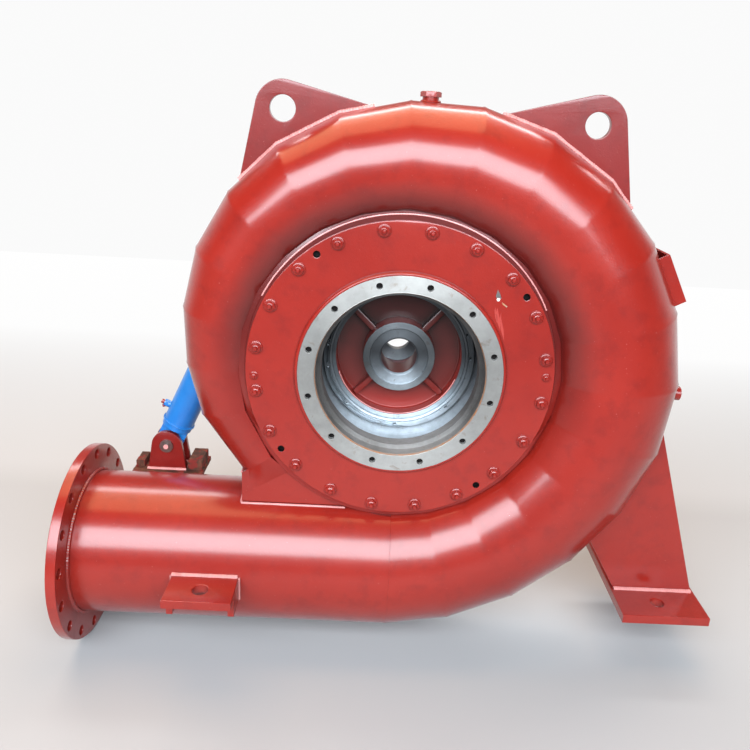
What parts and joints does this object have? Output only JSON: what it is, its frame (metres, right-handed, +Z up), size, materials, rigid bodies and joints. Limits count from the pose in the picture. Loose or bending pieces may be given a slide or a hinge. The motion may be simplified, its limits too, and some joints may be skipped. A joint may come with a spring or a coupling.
{
  "type": "francis turbine",
  "caption": "Horizontal Francis turbine case with flanged inlet, open draft-tube side, coupled guide vanes, regulating ring, servomotor, lifting lugs and feet.",
  "frame": {"origin": "on the underside of the leg's base plate, at the middle of its width, in the spiral's middle plane", "axes": "+Z up; -Y towards the draft-tube side; the inlet flange faces -X; the shaft's axis runs along Y"},
  "size_m": [1.851, 0.628, 1.6235],
  "materials": {
    "red_paint": "satin oxide-red paint",
    "bare_steel": "machined, lightly greased",
    "blue_paint": "satin blue paint",
    "rusty_steel": "unpainted, surface rust"
  },
  "bodies": {
    "turbine_case": {"back_cover": "red_paint", "draft_ring": "bare_steel", "front_cover": "red_paint", "front_pipe_bracket": "red_paint", "inlet_flange": "red_paint", "inlet_pipe": "red_paint", "left_lifting_lug": "red_paint", "leg_base": "red_paint", "leg_gusset": "red_paint", "leg_plate": "red_paint", "pressure_tap": "red_paint", "rear_pipe_bracket": "red_paint", "right_lifting_lug": "red_paint", "ring_keeper": "bare_steel", "ring_seat": "red_paint", "seal_ring": "bare_steel", "servo_base": "rusty_steel", "servo_cheek_front": "red_paint", "servo_cheek_rear": "red_paint", "servo_pin": "bare_steel", "servo_rib_1": "red_paint", "servo_rib_2": "red_paint", "shaft_housing": "red_paint", "side_channel": "red_paint", "stay_ring_back": "red_paint", "stay_ring_front": "red_paint", "stay_vane_1": "red_paint", "stay_vane_2": "red_paint", "stay_vane_3": "red_paint", "stay_vane_4": "red_paint", "stay_vane_5": "red_paint", "stay_vane_6": "red_paint", "stay_vane_7": "red_paint", "stay_vane_8": "red_paint", "tongue_back_plate": "red_paint", "tongue_end_plate": "red_paint", "tongue_front_plate": "red_paint", "vent_socket": "red_paint", "volute_segment_1": "red_paint", "volute_segment_2": "red_paint", "volute_segment_3": "red_paint", "volute_segment_4": "red_paint", "volute_segment_5": "red_paint"},
    "regulating_ring": {"regulating_ring": "red_paint", "ring_arm": "red_paint", "arm_pin": "bare_steel"},
    "servo_barrel": {"servo_barrel": "blue_paint"},
    "servo_rod": {"servo_rod": "bare_steel"},
    "vane_01": {"guide_vane_01": "bare_steel"},
    "vane_02": {"guide_vane_02": "bare_steel"},
    "vane_03": {"guide_vane_03": "bare_steel"},
    "vane_04": {"guide_vane_04": "bare_steel"},
    "vane_05": {"guide_vane_05": "bare_steel"},
    "vane_06": {"guide_vane_06": "bare_steel"},
    "vane_07": {"guide_vane_07": "bare_steel"},
    "vane_08": {"guide_vane_08": "bare_steel"},
    "vane_09": {"guide_vane_09": "bare_steel"},
    "vane_10": {"guide_vane_10": "bare_steel"},
    "vane_11": {"guide_vane_11": "bare_steel"},
    "vane_12": {"guide_vane_12": "bare_steel"}
  },
  "joints": [
    {"name": "ring_turn", "type": "hinge", "parent": "turbine_case", "child": "regulating_ring", "pos_m": [-0.8175, 0, 0.723], "axis": [0, 1, 0], "range_deg": [0, 12]},
    {"name": "servo_tilt", "type": "hinge", "parent": "turbine_case", "child": "servo_barrel", "pos_m": [-1.532, 0.235, 0.334], "axis": [0, 1, 0], "range_deg": [0, 0.8]},
    {"name": "rod_slide", "type": "slide", "parent": "servo_barrel", "child": "servo_rod", "axis": [0.4147, 0, 0.91], "range_m": [0, 0.102]},
    {"name": "vane_01_turn", "type": "hinge", "parent": "turbine_case", "child": "vane_01", "pos_m": [-0.5277, 0, 0.8006], "axis": [0, 1, 0], "range_deg": [-44.6, 0]},
    {"name": "vane_02_turn", "type": "hinge", "parent": "turbine_case", "child": "vane_02", "pos_m": [-0.6054, 0, 0.9351], "axis": [0, 1, 0], "range_deg": [-44.6, 0]},
    {"name": "vane_03_turn", "type": "hinge", "parent": "turbine_case", "child": "vane_03", "pos_m": [-0.7399, 0, 1.0128], "axis": [0, 1, 0], "range_deg": [-44.6, 0]},
    {"name": "vane_04_turn", "type": "hinge", "parent": "turbine_case", "child": "vane_04", "pos_m": [-0.8951, 0, 1.0128], "axis": [0, 1, 0], "range_deg": [-44.6, 0]},
    {"name": "vane_05_turn", "type": "hinge", "parent": "turbine_case", "child": "vane_05", "pos_m": [-1.0296, 0, 0.9351], "axis": [0, 1, 0], "range_deg": [-44.6, 0]},
    {"name": "vane_06_turn", "type": "hinge", "parent": "turbine_case", "child": "vane_06", "pos_m": [-1.1073, 0, 0.8006], "axis": [0, 1, 0], "range_deg": [-44.6, 0]},
    {"name": "vane_07_turn", "type": "hinge", "parent": "turbine_case", "child": "vane_07", "pos_m": [-1.1073, 0, 0.6454], "axis": [0, 1, 0], "range_deg": [-44.6, 0]},
    {"name": "vane_08_turn", "type": "hinge", "parent": "turbine_case", "child": "vane_08", "pos_m": [-1.0296, 0, 0.5109], "axis": [0, 1, 0], "range_deg": [-44.6, 0]},
    {"name": "vane_09_turn", "type": "hinge", "parent": "turbine_case", "child": "vane_09", "pos_m": [-0.8951, 0, 0.4332], "axis": [0, 1, 0], "range_deg": [-44.6, 0]},
    {"name": "vane_10_turn", "type": "hinge", "parent": "turbine_case", "child": "vane_10", "pos_m": [-0.7399, 0, 0.4332], "axis": [0, 1, 0], "range_deg": [-44.6, 0]},
    {"name": "vane_11_turn", "type": "hinge", "parent": "turbine_case", "child": "vane_11", "pos_m": [-0.6054, 0, 0.5109], "axis": [0, 1, 0], "range_deg": [-44.6, 0]},
    {"name": "vane_12_turn", "type": "hinge", "parent": "turbine_case", "child": "vane_12", "pos_m": [-0.5277, 0, 0.6454], "axis": [0, 1, 0], "range_deg": [-44.6, 0]}
  ],
  "couplings": [
    {"joint": "servo_tilt", "follows": "ring_turn", "ratio": 0.065},
    {"joint": "rod_slide", "follows": "ring_turn", "m_per_rad": 0.487},
    {"joint": "vane_01_turn", "follows": "ring_turn", "ratio": -3.7},
    {"joint": "vane_02_turn", "follows": "ring_turn", "ratio": -3.7},
    {"joint": "vane_03_turn", "follows": "ring_turn", "ratio": -3.7},
    {"joint": "vane_04_turn", "follows": "ring_turn", "ratio": -3.7},
    {"joint": "vane_05_turn", "follows": "ring_turn", "ratio": -3.7},
    {"joint": "vane_06_turn", "follows": "ring_turn", "ratio": -3.7},
    {"joint": "vane_07_turn", "follows": "ring_turn", "ratio": -3.7},
    {"joint": "vane_08_turn", "follows": "ring_turn", "ratio": -3.7},
    {"joint": "vane_09_turn", "follows": "ring_turn", "ratio": -3.7},
    {"joint": "vane_10_turn", "follows": "ring_turn", "ratio": -3.7},
    {"joint": "vane_11_turn", "follows": "ring_turn", "ratio": -3.7},
    {"joint": "vane_12_turn", "follows": "ring_turn", "ratio": -3.7}
  ]
}
